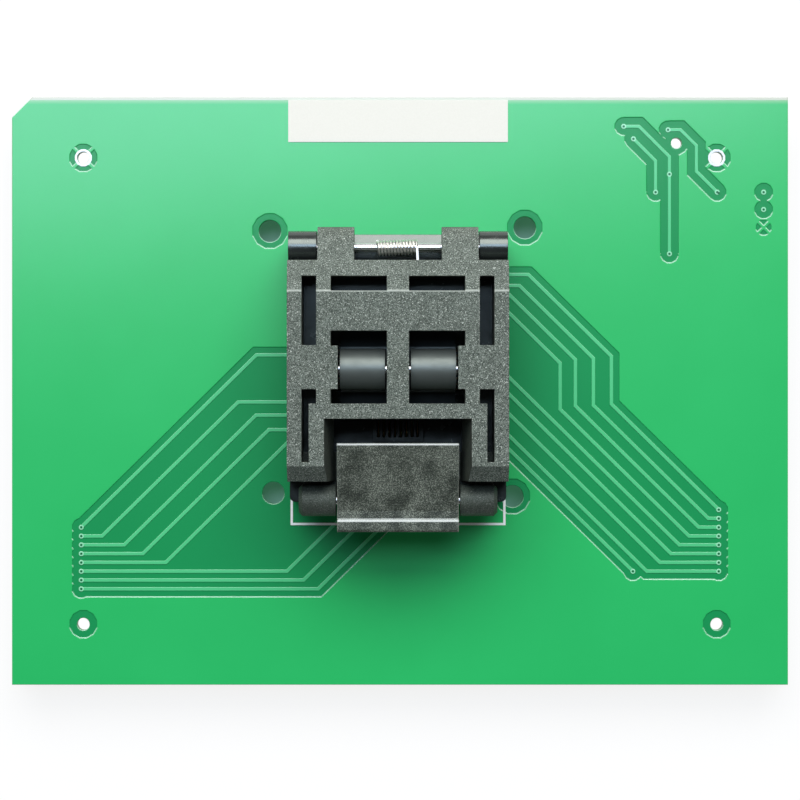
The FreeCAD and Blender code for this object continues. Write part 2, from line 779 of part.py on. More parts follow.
def comb_slots():
    """Slots for the front blades, right through the base so that their tails pass."""
    width = CONTACT_THICKNESS + 2 * CONTACT_SLOT_CLEARANCE
    outer = -CONTACT_BEND_REACH - CONTACT_BLADE_WIDTH / 2 - CONTACT_SLOT_CLEARANCE
    top = WELL_FLOOR + COMB_HEIGHT
    slots = []
    for offset in contact_offsets():
        slots.append(box(offset - width / 2, offset + width / 2, outer, -COMB_INNER, -OVERSHOOT, top))
    return slots


def base_outline():
    body = box(-HALF_BASE, HALF_BASE, BASE_FRONT, BASE_REAR, 0, BASE_HEIGHT)
    upright = [edge for edge in body.Edges if abs(edge.tangentAt(edge.FirstParameter).z) > 0.5]
    return body.makeFillet(BASE_CORNER_RADIUS, upright)


def hinge_post():
    """The post at one end of the hinge, rounded over the shaft."""
    front = HINGE_Y - BARREL_RADIUS
    foot = BASE_HEIGHT - BASE_CORNER_RADIUS
    post = box(BARREL_INNER, HALF_BASE, front, BASE_REAR, foot, HINGE_Z)
    return post.fuse(rod_x(HINGE_Y, HINGE_Z, BARREL_RADIUS, BARREL_INNER, HALF_BASE))


def rear_wall():
    """The wall behind the shaft, whose top slopes down towards the rear."""
    foot = BASE_HEIGHT - BASE_CORNER_RADIUS
    side = [
        (WALL_FRONT, foot),
        (WALL_FRONT, REAR_WALL_CREST),
        (WALL_REAR, REAR_WALL_FOOT),
        (WALL_REAR, foot),
    ]
    return prism_x(side, -BARREL_INNER, BARREL_INNER)


def rear_recess():
    return box(-BARREL_INNER, BARREL_INNER, WALL_REAR, BASE_REAR + OVERSHOOT, -OVERSHOOT, HINGE_Z)


def trough():
    """The space under the shaft that the knuckles and the spring turn in."""
    half = KNUCKLE_OUTER
    top = BASE_HEIGHT + OVERSHOOT
    floor = BASE_HEIGHT - TROUGH_DEPTH
    return box(-half, half, WALL_FRONT - TROUGH_WIDTH, WALL_FRONT, floor, top)


def catch_lean():
    """How far a point at the catch's top moves forward for each unit that the lid lifts it."""
    return (HINGE_Z - CATCH_TOP) / (HINGE_Y - BASE_FRONT)


def catch_face(z):
    """Where the slanted face that the hook lies under stands at a height."""
    return BASE_FRONT + (CATCH_TOP - z) * catch_lean()


def catch_recess():
    """The hollow in the base's front that the hook lies in."""
    front = BASE_FRONT - OVERSHOOT
    half = HALF_LATCH + CATCH_CLEARANCE
    side = [
        (front, CATCH_FOOT),
        (catch_face(CATCH_FOOT), CATCH_FOOT),
        (BASE_FRONT, CATCH_TOP),
        (front, CATCH_TOP),
    ]
    return prism_x(side, -half, half)


def make_base():
    half_seat = SEAT_SIZE / 2
    shaft_end = HALF_BASE - SHAFT_END_INSET
    base = joined([base_outline(), rear_wall()] + both_sides(hinge_post()))
    well = box(-HALF_WELL, HALF_WELL, -HALF_WELL, HALF_WELL, WELL_FLOOR, BASE_HEIGHT + OVERSHOOT)
    shaft_bore = rod_x(HINGE_Y, HINGE_Z, SHAFT_RADIUS + SEATED_CLEARANCE, -shaft_end, shaft_end)
    base = base.cut([well, trough(), rear_recess(), catch_recess(), shaft_bore])
    seat = box(-half_seat, half_seat, -half_seat, half_seat, WELL_FLOOR, SEAT_TOP)
    base = joined([base, seat] + all_sides([comb_side()]))
    return seated(base.cut(all_sides(comb_slots())))


def make_hinge_shaft():
    end = HALF_BASE - SHAFT_END_INSET
    return seated(rod_x(HINGE_Y, HINGE_Z, SHAFT_RADIUS, -end, end))


def coil(radius, pitch, turns, wire):
    """A coil of square wire about Z in short straight steps, starting on the X axis at height zero."""
    steps = round(turns * SPRING_STEPS)
    points = []
    for i in range(steps + 1):
        angle = 2 * math.pi * i / SPRING_STEPS
        rise = pitch * i / SPRING_STEPS
        points.append(Vector(radius * math.cos(angle), radius * math.sin(angle), rise))
    half = wire / 2
    rings = []
    for i, point in enumerate(points):
        angle = 2 * math.pi * i / SPRING_STEPS
        out = Vector(half * math.cos(angle), half * math.sin(angle), 0)
        rings.append([point + out, point + Vector(0, 0, half), point - out, point - Vector(0, 0, half)])
    return swept(rings)


def swept(rings):
    """A closed solid through a row of four-cornered sections."""
    faces = []
    for near, far in zip(rings, rings[1:]):
        for i in range(len(near)):
            j = (i + 1) % len(near)
            faces.append(Part.Face(Part.makePolygon([near[i], near[j], far[j], near[i]])))
            faces.append(Part.Face(Part.makePolygon([near[i], far[j], far[i], near[i]])))
    for ring in (rings[0], rings[-1]):
        faces.append(Part.Face(Part.makePolygon(ring + ring[:1])))
    return Part.makeSolid(Part.makeShell(faces))


def make_hinge_spring():
    """The torsion spring: its coil, the leg that lifts the lid and the foot on the rear wall."""
    wound = coil(SPRING_MEAN_RADIUS, SPRING_PITCH, SPRING_TURNS, SPRING_WIRE)
    wound.rotate(Vector(0, 0, 0), Vector(1, 1, 1), 120.0)
    radius, half = SPRING_MEAN_RADIUS, SPRING_WIRE / 2
    end = SPRING_PITCH * SPRING_TURNS
    leg = box(end - half, end + half, -SPRING_LEG, 0, radius - half, radius + half)
    ahead = math.sin(math.radians(SPRING_TILT)) * end / 2
    drop = HINGE_Z - wall_height(HINGE_Y + radius - half - ahead) - WIRE_GAP
    foot = box(-half, half, radius - half, radius + half, -drop, 0)
    spring = joined([wound, leg, foot])
    spring.rotate(Vector(end / 2, 0, 0), Vector(0, 0, 1), SPRING_TILT)
    return seated(spring.translated(Vector(-SPRING_LEFT, HINGE_Y, HINGE_Z)))


def wall_height(y):
    """Height of the rear wall's sloping top."""
    share = (WALL_REAR - y) / REAR_WALL_WIDTH
    return REAR_WALL_FOOT + share * (REAR_WALL_CREST - REAR_WALL_FOOT)


def lid_slope():
    """Angle of the sloping top, which runs from the crease to touch the knuckles."""
    along = HINGE_Y - LID_CREASE
    drop = LID_TOP - HINGE_Z
    return math.atan2(drop, along) - math.asin(KNUCKLE_RADIUS / math.hypot(along, drop))


def slope_height(y):
    return LID_TOP - (y - LID_CREASE) * math.tan(lid_slope())


def lid_profile():
    rear_under = slope_height(LID_REAR) - LID_PLATE
    wall_under = slope_height(LID_REAR_WALL) - LID_PLATE
    return [
        (LID_FRONT, LID_BOTTOM),
        (LID_FRONT, LID_TOP - LID_FRONT_SLOPE_DROP),
        (LID_FRONT + LID_FRONT_SLOPE_RUN, LID_TOP),
        (LID_CREASE, LID_TOP),
        (LID_REAR, slope_height(LID_REAR)),
        (LID_REAR, rear_under),
        (LID_REAR_WALL, wall_under),
        (LID_REAR_WALL, LID_BOTTOM),
    ]


def lid_knuckle():
    """An arm that runs back from the lid and wraps the shaft."""
    slope = lid_slope()
    touch_y = HINGE_Y + KNUCKLE_RADIUS * math.sin(slope)
    touch_z = HINGE_Z + KNUCKLE_RADIUS * math.cos(slope)
    low = HINGE_Z - KNUCKLE_RADIUS
    side = [
        (LID_CREASE, LID_TOP),
        (touch_y, touch_z),
        (HINGE_Y, HINGE_Z),
        (HINGE_Y, low),
        (LID_CREASE, low),
    ]
    arm = prism_x(side, KNUCKLE_INNER, KNUCKLE_OUTER)
    return arm.fuse(rod_x(HINGE_Y, HINGE_Z, KNUCKLE_RADIUS, KNUCKLE_INNER, KNUCKLE_OUTER))


def lid_ear():
    """The round ear that holds one end of the latch pin, on a low arm from the lid."""
    knob = rod_x(LATCH_PIN_Y, LATCH_PIN_Z, EAR_RADIUS, EAR_INNER, EAR_OUTER)
    rim = [edge for edge in knob.Edges if edge.Closed and edge.CenterOfMass.x > EAR_OUTER - EAR_CHAMFER]
    knob = knob.makeChamfer(EAR_CHAMFER, rim)
    low = LATCH_PIN_Z - EAR_RADIUS
    high = LATCH_PIN_Z - EAR_ARM_DROP
    arm = box(EAR_INNER, EAR_OUTER - EAR_CHAMFER, LATCH_PIN_Y, LID_FRONT + OVERSHOOT, low, high)
    return arm.fuse(knob)


def lid_boss():
    """The thicker stretch of a side rib that holds the pusher pin."""
    inner = SIDE_RIB_INNER - PIN_BOSS
    return box(inner, SIDE_RIB_OUTER, -PIN_BOSS_AHEAD, PIN_BOSS_BEHIND, RIB_FOOT, LID_TOP)


def corner_slot_front():
    return LID_FRONT + CORNER_SLOT_FRONT_WALL


def lid_cavities():
    """Hollows under the lid's plate, between its ribs."""
    under = LID_TOP - LID_PLATE
    wall = SIDE_WALL_INNER
    front = LID_FRONT + FLOOR_BAR_WIDTH
    rear = LID_REAR_WALL - LID_PLATE / 2
    lower = box(-wall, wall, front, rear, LID_BOTTOM - OVERSHOOT, RIB_FOOT)
    inner = box(CENTRE_RIB_HALF, SIDE_RIB_INNER, -MIDDLE_WINDOW_AHEAD, rear, RIB_FOOT, under)
    outer = box(SIDE_RIB_OUTER, wall, corner_slot_front(), rear, RIB_FOOT, under)
    return [lower] + both_sides(inner) + both_sides(outer)


def lid_windows():
    """Openings through the lid's plate, as spans from side to side and from front to rear."""
    middle = (CENTRE_RIB_HALF, SIDE_RIB_INNER)
    side = (SIDE_RIB_OUTER, SIDE_WALL_INNER)
    leg = (SIDE_WALL_INNER - CORNER_SLOT_LEG, SIDE_WALL_INNER)
    rear = LID_CREASE + REAR_WINDOW_LENGTH
    spans = [
        (middle, (LID_CREASE, rear)),
        (middle, (-MIDDLE_WINDOW_AHEAD, MIDDLE_WINDOW_BEHIND)),
        (side, (SIDE_SLOT_BEHIND, rear)),
        (side, (-MIDDLE_WINDOW_AHEAD, -CORNER_SLOT_AHEAD)),
        (leg, (corner_slot_front(), -MIDDLE_WINDOW_AHEAD)),
    ]
    openings = [box(*across, *along, RIB_FOOT, LID_TOP + OVERSHOOT) for across, along in spans]
    return [side for opening in openings for side in both_sides(opening)]


def lid_notch():
    """The front notch, whose sides slope in towards the latch."""
    lean = NOTCH_LEAN / (LID_TOP - NOTCH_FLOOR)
    low = HALF_LATCH + NOTCH_SIDE_GAP
    wide = low + NOTCH_LEAN + lean * OVERSHOOT
    top = LID_TOP + OVERSHOOT
    outline = [(-low, NOTCH_FLOOR), (low, NOTCH_FLOOR), (wide, top), (-wide, top)]
    return prism_y(outline, LID_FRONT - OVERSHOOT, LATCH_REAR + NOTCH_REAR_GAP)


def latch_spring_pocket(z0, z1):
    radius = LATCH_SPRING_RADIUS + LATCH_SPRING_WIRE / 2 + SPRING_POCKET_CLEARANCE
    return prism_z(ring_points(0, LATCH_SPRING_Y, radius, ROUND_SIDES), z0, z1)


def make_lid():
    body = prism_x(lid_profile(), -HALF_LID, HALF_LID)
    body = joined([body] + both_sides(lid_knuckle()))
    body = body.cut(lid_cavities() + lid_windows() + [lid_notch()])
    body = joined([body] + both_sides(lid_boss()) + both_sides(lid_ear()))
    pin_radius = LATCH_PIN_RADIUS + SEATED_CLEARANCE
    bores = [
        rod_x(HINGE_Y, HINGE_Z, SHAFT_RADIUS + RUNNING_CLEARANCE, -HALF_LID, HALF_LID),
        rod_x(0, PUSHER_Z, PUSHER_PIN_RADIUS + SEATED_CLEARANCE, -SIDE_RIB_OUTER, SIDE_RIB_OUTER),
        rod_x(LATCH_PIN_Y, LATCH_PIN_Z, pin_radius, -LATCH_PIN_HALF, LATCH_PIN_HALF),
        latch_spring_pocket(NOTCH_FLOOR - SPRING_POCKET_DEPTH, NOTCH_FLOOR),
    ]
    relief_radius = (BARREL_RADIUS + BARREL_RELIEF) / math.cos(math.pi / ROUND_SIDES)
    relief = ring_points(HINGE_Y, HINGE_Z, relief_radius, ROUND_SIDES)
    relief = prism_x(relief, KNUCKLE_OUTER, HALF_LID)
    return seated(body.cut(bores + both_sides(relief)))


def make_pusher_pin():
    return seated(rod_x(0, PUSHER_Z, PUSHER_PIN_RADIUS, -SIDE_RIB_OUTER, SIDE_RIB_OUTER))


def pusher_barrel():
    """One of the two rounded lugs that the pusher hangs by."""
    inner = CENTRE_RIB_HALF + PUSHER_SIDE_GAP
    radius = PUSHER_BARREL_RADIUS
    lug = box(inner, PUSHER_OUTER, -radius, radius, PUSHER_BODY_FOOT, PUSHER_Z)
    return lug.fuse(rod_x(0, PUSHER_Z, radius, inner, PUSHER_OUTER))


def make_pusher():
    half = PUSHER_DEPTH / 2
    cut = PUSHER_EDGE_CHAMFER
    top, foot = PUSHER_BODY_TOP, PUSHER_BODY_FOOT
    side = [(-half, foot), (-half, top - cut), (cut - half, top)]
    side += [(half - cut, top), (half, top - cut), (half, foot)]
    body = prism_x(side, -PUSHER_OUTER, PUSHER_OUTER)
    outer, inner = RIM_OUTER, RIM_OUTER - RIM_WALL
    rim_foot = CONTACT_TIP_HEIGHT + RIM_CLEARANCE
    rim = box(-outer, outer, -outer, outer, rim_foot, foot)
    rim = rim.cut(box(-inner, inner, -inner, inner, rim_foot, foot))
    pusher = joined([body, rim] + both_sides(pusher_barrel()))
    bore = rod_x(0, PUSHER_Z, PUSHER_PIN_RADIUS + RUNNING_CLEARANCE, -PUSHER_OUTER, PUSHER_OUTER)
    return seated(pusher.cut(bore))


def latch_land_rear():
    return LATCH_PIN_Y - LATCH_LAND_TO_PIN


def latch_underside(y):
    """Height of the plate's underside, which slopes up towards its rear."""
    lean = (LATCH_REAR_TOP - LATCH_LAND_TOP) / (LATCH_REAR - latch_land_rear())
    return LATCH_REAR_TOP - LATCH_PLATE - (LATCH_REAR - y) * lean


def latch_profile():
    """Side view of the latch. Its hook leans in under the catch and can follow the lid's path."""
    land_front = latch_land_rear() - LATCH_LAND_WIDTH
    lip_front = land_front - LATCH_LIP_WIDTH
    lip_top = LATCH_LAND_TOP + LATCH_RIDGE
    lip_foot = lip_top - LATCH_LIP_DEPTH
    arm_rear = BASE_FRONT - LATCH_ARM_CLEARANCE
    arm_front = arm_rear - LATCH_ARM_THICKNESS
    hook_top = CATCH_TOP + (BASE_FRONT - LATCH_HOOK_GAP - arm_rear) / catch_lean()
    hook_foot = LATCH_HOOK_FOOT
    boss_rear = LATCH_PIN_Y + LATCH_BOSS_RADIUS
    return [
        (LATCH_REAR, LATCH_REAR_TOP),
        (latch_land_rear(), LATCH_LAND_TOP),
        (land_front, LATCH_LAND_TOP),
        (land_front, lip_top),
        (lip_front, lip_top),
        (lip_front, lip_foot),
        (arm_front, lip_foot - (arm_front - lip_front)),
        (arm_front, hook_foot + LATCH_ARM_BEVEL),
        (arm_front + LATCH_ARM_BEVEL, hook_foot),
        (catch_face(hook_foot) - LATCH_HOOK_GAP, hook_foot),
        (arm_rear, hook_top),
        (arm_rear, LATCH_PIN_Z),
        (LATCH_PIN_Y, LATCH_PIN_Z),
        (boss_rear, latch_underside(boss_rear)),
        (LATCH_REAR, LATCH_REAR_TOP - LATCH_PLATE),
    ]


def rounded_edges(shape, corners):
    """The long edges of a drawn-out profile that run through the given (y, z) corners."""
    chosen = []
    for edge in shape.Edges:
        start, end = edge.Vertexes[0].Point, edge.Vertexes[-1].Point
        across = abs(end.x - start.x) > LATCH_WIDTH / 2
        if across and any(math.hypot(start.y - y, start.z - z) < WIRE_GAP for y, z in corners):
            chosen.append(edge)
    return chosen


def make_latch():
    profile = latch_profile()
    plate = prism_x(profile, -HALF_LATCH, HALF_LATCH)
    bright_edges = rounded_edges(plate, [profile[0], profile[3], profile[4]])
    plate = plate.makeFillet(LATCH_EDGE_RADIUS, bright_edges)
    boss = rod_x(LATCH_PIN_Y, LATCH_PIN_Z, LATCH_BOSS_RADIUS, -HALF_LATCH, HALF_LATCH)
    bore = rod_x(LATCH_PIN_Y, LATCH_PIN_Z, LATCH_PIN_RADIUS + RUNNING_CLEARANCE, -HALF_LATCH, HALF_LATCH)
    pocket = latch_spring_pocket(NOTCH_FLOOR, latch_underside(LATCH_SPRING_Y) + SPRING_POCKET_DEPTH)
    return seated(joined([plate, boss]).cut([bore, pocket]))


def make_latch_pin():
    return seated(rod_x(LATCH_PIN_Y, LATCH_PIN_Z, LATCH_PIN_RADIUS, -LATCH_PIN_HALF, LATCH_PIN_HALF))


def make_latch_spring():
    """The compression spring that lifts the latch plate."""
    low = NOTCH_FLOOR - SPRING_POCKET_DEPTH + WIRE_GAP
    high = latch_underside(LATCH_SPRING_Y) + SPRING_POCKET_DEPTH - WIRE_GAP
    rise = high - low - LATCH_SPRING_WIRE
    wound = coil(LATCH_SPRING_RADIUS, rise / LATCH_SPRING_TURNS, LATCH_SPRING_TURNS, LATCH_SPRING_WIRE)
    return seated(wound.translated(Vector(0, LATCH_SPRING_Y, low + LATCH_SPRING_WIRE / 2)))


os.makedirs("parts", exist_ok=True)
save("circuit_board", [make_board()])
save("left_tracks", make_left_tracks())
save("right_tracks", make_right_tracks())
save("corner_tracks", make_corner_tracks())
save("edge_vias", make_edge_vias())
save("hole_rings", make_hole_rings())
save("blank_label", [make_label()])
save("outline_print", [make_outline_print()])
save("left_connector", [make_connector(-HALF_SPACING_X)])
save("right_connector", [make_connector(HALF_SPACING_X)])
save("left_connector_leads", make_leads(-HALF_SPACING_X))
save("right_connector_leads", make_leads(HALF_SPACING_X))
save("socket_base", [make_base()])
save("front_contacts", make_contacts(0))
save("right_contacts", make_contacts(1))
save("rear_contacts", make_contacts(2))
save("left_contacts", make_contacts(3))
save("solder_joints", make_solder_joints())
save("hinge_shaft", [make_hinge_shaft()])
save("hinge_spring", [make_hinge_spring()])
save("lid", [make_lid()])
save("pusher_pin", [make_pusher_pin()])
save("pusher", [make_pusher()])
save("latch", [make_latch()])
save("latch_pin", [make_latch_pin()])
save("latch_spring", [make_latch_spring()])
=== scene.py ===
import json

import bpy
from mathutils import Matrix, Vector


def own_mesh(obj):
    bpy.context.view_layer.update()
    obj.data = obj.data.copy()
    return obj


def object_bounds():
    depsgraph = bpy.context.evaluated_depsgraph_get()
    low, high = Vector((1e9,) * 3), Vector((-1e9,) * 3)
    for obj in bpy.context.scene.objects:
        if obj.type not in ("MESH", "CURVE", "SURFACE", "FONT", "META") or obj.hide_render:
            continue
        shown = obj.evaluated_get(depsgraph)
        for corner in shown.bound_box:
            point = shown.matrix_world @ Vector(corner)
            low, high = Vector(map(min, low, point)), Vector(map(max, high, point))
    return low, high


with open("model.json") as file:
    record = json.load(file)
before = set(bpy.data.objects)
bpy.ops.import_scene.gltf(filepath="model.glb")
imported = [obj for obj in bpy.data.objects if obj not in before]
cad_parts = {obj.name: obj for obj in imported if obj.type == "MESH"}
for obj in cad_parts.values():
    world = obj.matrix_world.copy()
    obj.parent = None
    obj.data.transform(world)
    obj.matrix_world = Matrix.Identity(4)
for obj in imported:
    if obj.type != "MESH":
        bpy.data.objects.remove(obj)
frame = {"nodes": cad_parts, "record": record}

start_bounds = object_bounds()
MM = 0.001
NODES = frame["nodes"]
X, Y, Z = 0, 1, 2

# Heights, places and widths on the part that the finishes follow
BOARD_TOP = 7.3 * MM
COPPER = 0.07 * MM
HINGE_END = 18.5 * MM
EAR_TOP = BOARD_TOP + 13.0 * MM
CREASE_Y = 13.8 * MM
CREASE_Z = BOARD_TOP + 17.7 * MM
LUG_Y = 3.0 * MM
LUG_RADIUS = 3.0 * MM
VIA_COLUMN = 46.02 * MM
VIA_PITCH = 1.27 * MM
VIA_HOLE_EDGE = (0.12 * MM, 0.20 * MM)
PAD_INNER_EDGE = (0.16 * MM, 0.24 * MM)
PAD_OUTER_EDGE = (0.30 * MM, 0.42 * MM)
# Widths of the painted highlight line and of the faint painted sheen beside it, along the board's rear edge
REAR_HIGHLIGHT_WIDTH = 0.36 * MM
REAR_HIGHLIGHT_END = 0.46 * MM
REAR_SHEEN_END = 1.10 * MM

# Centres of the vias that stand outside the two columns, seen from above, in millimetres
LOOSE_VIAS = (
    (32.3, 38.2), (38.9, 31.3), (38.9, 19.8), (33.7, 36.4), (36.9, 28.7), (38.7, 37.7), (45.8, 28.7),
    (52.5, 28.7), (52.5, 26.2), (33.62, -26.035),
)

# Painted pools of light on the floor: centres under the corner holes (all four by symmetry) and the pilot
# hole
CORNER_POOL = (47.0 * MM, 34.8 * MM, 0.0)
PILOT_POOL = (41.2 * MM, 37.0 * MM, 0.0)
POOL_RADIUS = 1.3 * MM

# The floor past the board: how much of it is plain white, how bright that is, and where it fades in
FLOOR_WHITE = 0.84
WHITE_LIGHT = 1.03
FLOOR_FADE = (-0.9 * MM, 4.0 * MM)
FLOOR_SIZE = 3.0

# Colours as linear red, green and blue. A pair is the dark and the light of a mottle.
WHITE = (1.0, 1.0, 1.0)
POUR = ((0.012, 0.395, 0.094), (0.018, 0.435, 0.112))
CLEARED = ((0.003, 0.225, 0.060), (0.006, 0.250, 0.074))
CUT_EDGE = ((0.13, 0.36, 0.14), (0.22, 0.48, 0.20))
# Painted highlights: the pour's edges that face the rear light, and the board's rear edge
POUR_EDGE_HIGHLIGHT = (0.52, 0.80, 0.62)
REAR_EDGE_HIGHLIGHT = (0.57, 0.53, 0.47)
TRACK = ((0.055, 0.455, 0.170), (0.080, 0.510, 0.210))
# Painted highlight colour for the tracks' edges that face the rear light
TRACK_EDGE_HIGHLIGHT = (0.50, 0.80, 0.60)
PAD_RIM = (0.42, 0.74, 0.55)
VIA_HOLE = (0.004, 0.085, 0.030)
LID = ((0.028, 0.035, 0.027), (0.156, 0.180, 0.150))
LID_GLINT = (0.56, 0.60, 0.53)
LATCH = ((0.016, 0.020, 0.015), (0.051, 0.059, 0.047))
# The latch's pale colour for specks and edges, partly wear and partly painted highlight, then its painted
# rear-edge highlight
LATCH_SPECK_WEAR_AND_HIGHLIGHT = (0.30, 0.33, 0.27)
LATCH_REAR_HIGHLIGHT = (0.66, 0.69, 0.66)
CONNECTOR = ((0.010, 0.011, 0.012), (0.022, 0.023, 0.025))
BASE = ((0.009, 0.012, 0.011), (0.017, 0.020, 0.019))
# Pusher: the lugs' lighter colour is painted light, and the body's darker colour is painted shade
PUSHER_LUG_LIT = (0.046, 0.054, 0.050)
PUSHER_BODY_SHADED = (0.011, 0.014, 0.014)
PAPER = ((0.64, 0.63, 0.56), (0.72, 0.71, 0.64))
INK = ((0.80, 0.86, 0.82), (0.92, 0.95, 0.93))
# The floor's first colour, under the board, is painted shade with a green tint; the second lies past the
# board. The next colour is a painted green glow under the board.
FLOOR = ((0.40, 0.52, 0.45), (0.75, 0.76, 0.75))
LIGHT_THROUGH_BOARD = (0.026, 0.094, 0.054)

# Highlights: the black plastics tint theirs, and the solder mask has most of its shine in a coat
GREENISH = (0.89, 1.0, 0.92)
MASK_SPECULAR = 0.1
MASK_COAT_ROUGHNESS = 0.19

# The camera's film width and lens in millimetres, and its place and near limit in metres
SENSOR_WIDTH = 36.0
LENS = 127.8
CAMERA_PLACE = (0.0, -0.0013, BOARD_TOP + 0.410)
CLIP_START = 0.02

# Each lamp's name, place, aim and size in metres, power in watts, and colour
LAMPS = (
    ("rear_softbox", (0.0, 0.52, 0.62), (0.0, 0.0, 0.01), (0.9, 0.5), 9.0, WHITE),
    ("top_card", (-0.03, 0.205, 0.85), (0.0, 0.0, 0.0), (0.46, 0.22), 2.6, (0.62, 0.76, 1.0)),
)


class Graph:
    """Small helper that adds and joins the shader nodes of a material or of the world."""

    def __init__(self, owner, shader="Principled BSDF"):
        owner.use_nodes = True
        self.owner = owner
        self.tree = owner.node_tree
        self.shader = self.tree.nodes[shader]

    def add(self, kind, **values):
        node = self.tree.nodes.new(kind)
        for key, value in values.items():
            setattr(node, key, value)
        return node

    def put(self, node, socket, value):
        """Joins an output to an input, or sets the input's constant. Colours come without alpha."""
        target = node.inputs[socket]
        if isinstance(value, bpy.types.NodeSocket):
            self.tree.links.new(value, target)
        elif target.type == "RGBA":
            target.default_value = (*value, 1.0)
        else:
            target.default_value = value

    def set(self, **values):
        """Puts values into the shader's inputs, named in lower case, and returns the owner."""
        for key, value in values.items():
            self.put(self.shader, key.replace("_", " ").title().replace("Ior", "IOR"), value)
        return self.owner

    def position(self):
        """Place on the piece, which stays with it when it moves."""
        return self.add("ShaderNodeTexCoord").outputs["Object"]

    def geometry(self, output):
        return self.add("ShaderNodeNewGeometry").outputs[output]

    def axis(self, vector, which):
        node = self.add("ShaderNodeSeparateXYZ")
        self.put(node, 0, vector)
        return node.outputs[which]

    def math(self, operation, a, b=0.0, c=0.0):
        node = self.add("ShaderNodeMath", operation=operation)
        for socket, value in enumerate((a, b, c)):
            self.put(node, socket, value)
        return node.outputs[0]

    def vector_math(self, operation, a, b):
        """An operation on two vectors that gives a number."""
        node = self.add("ShaderNodeVectorMath", operation=operation)
        self.put(node, 0, a)
        self.put(node, 1, b)
        return node.outputs["Value"]

    def off(self, value, middle):
        """How far a number is from its middle value, either way."""
        return self.math("ABSOLUTE", self.math("SUBTRACT", value, middle))

    def ramp(self, value, low, high, out_low=0.0, out_high=1.0, smooth=True):
        node = self.add("ShaderNodeMapRange")
        node.interpolation_type = "SMOOTHSTEP" if smooth else "LINEAR"
        self.put(node, "Value", value)
        self.put(node, "From Min", low)
        self.put(node, "From Max", high)
        self.put(node, "To Min", out_low)
        self.put(node, "To Max", out_high)
        return node.outputs["Result"]

    def noise(self, scale, detail=2.0, roughness=0.5, stretch=None):
        vector = self.position()
        if stretch:
            mapping = self.add("ShaderNodeMapping")
            self.put(mapping, "Vector", vector)
            self.put(mapping, "Scale", stretch)
            vector = mapping.outputs[0]
        node = self.add("ShaderNodeTexNoise")
        self.put(node, "Vector", vector)
        self.put(node, "Scale", scale)
        self.put(node, "Detail", detail)
        self.put(node, "Roughness", roughness)
        return node.outputs["Fac"]

    def mix(self, factor, a, b):
        """Mixes two colours. The node's colour sockets are numbers 6 and 7."""
        node = self.add("ShaderNodeMix", data_type="RGBA")
        for socket, value in ((0, factor), (6, a), (7, b)):
            self.put(node, socket, value)
        return node.outputs[2]

    def bump(self, height, strength, distance, normal=None):
        node = self.add("ShaderNodeBump")
        self.put(node, "Height", height)
        self.put(node, "Strength", strength)
        self.put(node, "Distance", distance)
        if normal is not None:
            self.put(node, "Normal", normal)
        return node.outputs[0]

    def bevel(self, radius):
        node = self.add("ShaderNodeBevel", samples=6)
        self.put(node, "Radius", radius)
        return node.outputs[0]

    def rear_highlight_mask(self, rounded):
        """Mask for painted highlights: one where an edge rolls over towards the rear light, and nought on
        flat faces.
        """
        flat = self.geometry("True Normal")
        turn = self.math("SUBTRACT", self.axis(rounded, Y), self.axis(flat, Y))
        return self.ramp(turn, 0.02, 0.14)

    def rear_edge_highlight_mask(self, rounded):
        """Mask for a painted highlight: one on the piece's own rear edges where they roll over, however the
        piece is turned.
        """
        turned = self.add(
            "ShaderNodeVectorTransform",
            vector_type="NORMAL",
            convert_from="WORLD",
            convert_to="OBJECT",
        )
        self.put(turned, 0, rounded)
        rearward = self.ramp(self.axis(turned.outputs[0], Y), 0.10, 0.36)
        upward = self.ramp(self.axis(turned.outputs[0], Z), 0.50, 0.68)
        return self.math("MULTIPLY", rearward, upward)


def material_graph(name):
    return Graph(bpy.data.materials.new(name))


